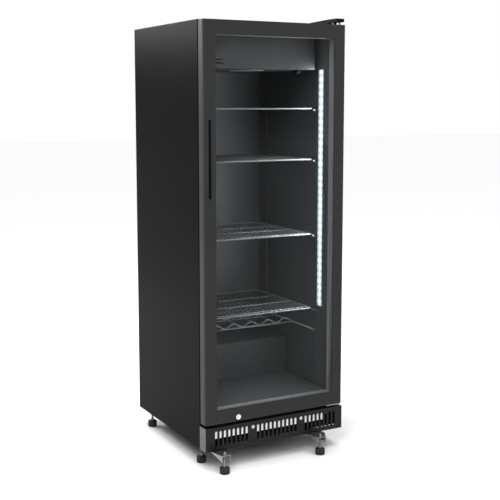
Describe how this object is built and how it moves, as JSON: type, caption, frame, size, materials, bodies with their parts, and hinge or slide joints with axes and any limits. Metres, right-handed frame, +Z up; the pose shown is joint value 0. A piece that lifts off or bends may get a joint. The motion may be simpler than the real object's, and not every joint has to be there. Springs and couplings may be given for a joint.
{
  "type": "glass-door display cooler",
  "caption": "Upright display cooler with a right-hinged double-glazed door, wire shelves, slotted plinth grille, cooling unit, levelling feet and front stabiliser feet.",
  "frame": {"origin": "on the floor under the centre of the overall box", "axes": "+Z up, -Y towards the door's front, +X towards the hinge side"},
  "size_m": [0.595, 0.692, 1.6533],
  "materials": {
    "cabinet_paint": "dark grey powder coat, satin",
    "plinth_finish": "dark grey powder coat, satin",
    "door_finish": "anthracite, satin",
    "liner": "anthracite plastic, satin",
    "reveal": "mid grey plastic, satin",
    "glass": "clear double glazing",
    "gasket": "black soft seal",
    "foam": "rigid insulation foam",
    "zinc": "zinc-plated steel",
    "lock_metal": "nickel-plated",
    "black_plastic": "black moulded plastic",
    "black_steel": "black enamel",
    "baffle": "white plastic",
    "wire": "light grey coated wire",
    "coil_metal": "aluminium fins",
    "copper": "bare copper",
    "led_light": "cool white light strip",
    "foot": "black pad on a zinc-plated rod"
  },
  "bodies": {
    "cabinet": {"side_panel_left": "cabinet_paint", "side_panel_right": "cabinet_paint", "top_panel": "cabinet_paint", "back_panel": "cabinet_paint", "rear_grille": "cabinet_paint", "front_grille": "plinth_finish", "inner_liner": "liner", "evaporator_cover": "liner", "pilaster_front_left": "liner", "pilaster_front_right": "liner", "pilaster_rear_left": "liner", "pilaster_rear_right": "liner", "led_housing": "liner", "insulation_foam": "foam", "stabiliser_bracket_left": "zinc", "stabiliser_bracket_right": "zinc", "top_hinge_bracket": "zinc", "bottom_hinge_bracket": "zinc", "top_hinge_cover": "black_plastic", "evaporator_fan_motor": "black_plastic", "condenser_fan_motor": "black_plastic", "condenser_fan_shroud": "black_plastic", "drip_tray": "black_plastic", "power_inlet": "black_plastic", "base_pan": "black_steel", "compressor": "black_steel", "front_cross_member": "black_steel", "air_baffle": "baffle", "shelf_1": "wire", "shelf_2": "wire", "shelf_3": "wire", "shelf_4": "wire", "bottle_shelf": "wire", "evaporator_fan_guard": "wire", "evaporator_coil": "coil_metal", "condenser_coil": "coil_metal", "discharge_pipe": "copper", "suction_pipe": "copper", "led_strip": "led_light"},
    "door": {"door_frame": "door_finish", "glass_outer": "glass", "glass_inner": "glass", "glazing_spacer": "reveal", "door_inner_trim": "reveal", "door_gasket": "gasket", "handle_grip": "door_finish", "lock_body": "lock_metal"},
    "lock": {"lock_cylinder": "lock_metal", "lock_cam": "lock_metal"},
    "evaporator_fan": {"evaporator_fan_blade": "black_plastic"},
    "condenser_fan": {"condenser_fan_blade": "black_plastic"},
    "thermostat": {"thermostat_knob": "black_plastic"},
    "lamp_switch": {"light_switch": "reveal"},
    "foot_front_left": {"levelling_foot_front_left": "foot"},
    "foot_front_right": {"levelling_foot_front_right": "foot"},
    "foot_rear_left": {"levelling_foot_rear_left": "foot"},
    "foot_rear_right": {"levelling_foot_rear_right": "foot"},
    "stabiliser_left": {"stabiliser_foot_left": "foot"},
    "stabiliser_right": {"stabiliser_foot_right": "foot"}
  },
  "joints": [
    {"name": "door_hinge", "type": "hinge", "parent": "cabinet", "child": "door", "pos_m": [0.2825, -0.262, 0.172], "axis": [0, 0, 1], "range_deg": [0, 110]},
    {"name": "lock_turn", "type": "hinge", "parent": "door", "child": "lock", "pos_m": [-0.1625, -0.284, 0.188], "axis": [0, 1, 0], "range_deg": [0, 90]},
    {"name": "evaporator_fan_spin", "type": "hinge", "parent": "cabinet", "child": "evaporator_fan", "pos_m": [0, -0.049, 1.487], "axis": [0, 0, 1], "continuous": true},
    {"name": "condenser_fan_spin", "type": "hinge", "parent": "cabinet", "child": "condenser_fan", "pos_m": [-0.155, 0.193, 0.182], "axis": [0, 1, 0], "continuous": true},
    {"name": "thermostat_turn", "type": "hinge", "parent": "cabinet", "child": "thermostat", "pos_m": [0.1825, -0.119, 1.467], "axis": [0, 0, 1], "range_deg": [-140, 140]},
    {"name": "switch_rock", "type": "hinge", "parent": "cabinet", "child": "lamp_switch", "pos_m": [-0.1795, -0.1675, 1.491], "axis": [1, 0, 0], "range_deg": [-7, 7]},
    {"name": "foot_front_left_turn", "type": "hinge", "parent": "cabinet", "child": "foot_front_left", "pos_m": [-0.2655, -0.182, 0], "axis": [0, 0, 1], "continuous": true},
    {"name": "foot_front_right_turn", "type": "hinge", "parent": "cabinet", "child": "foot_front_right", "pos_m": [0.2655, -0.182, 0], "axis": [0, 0, 1], "continuous": true},
    {"name": "foot_rear_left_turn", "type": "hinge", "parent": "cabinet", "child": "foot_rear_left", "pos_m": [-0.2655, 0.286, 0], "axis": [0, 0, 1], "continuous": true},
    {"name": "foot_rear_right_turn", "type": "hinge", "parent": "cabinet", "child": "foot_rear_right", "pos_m": [0.2655, 0.286, 0], "axis": [0, 0, 1], "continuous": true},
    {"name": "stabiliser_left_turn", "type": "hinge", "parent": "cabinet", "child": "stabiliser_left", "pos_m": [-0.2415, -0.3275, 0], "axis": [0, 0, 1], "continuous": true},
    {"name": "stabiliser_right_turn", "type": "hinge", "parent": "cabinet", "child": "stabiliser_right", "pos_m": [0.1705, -0.3275, 0], "axis": [0, 0, 1], "continuous": true}
  ]
}
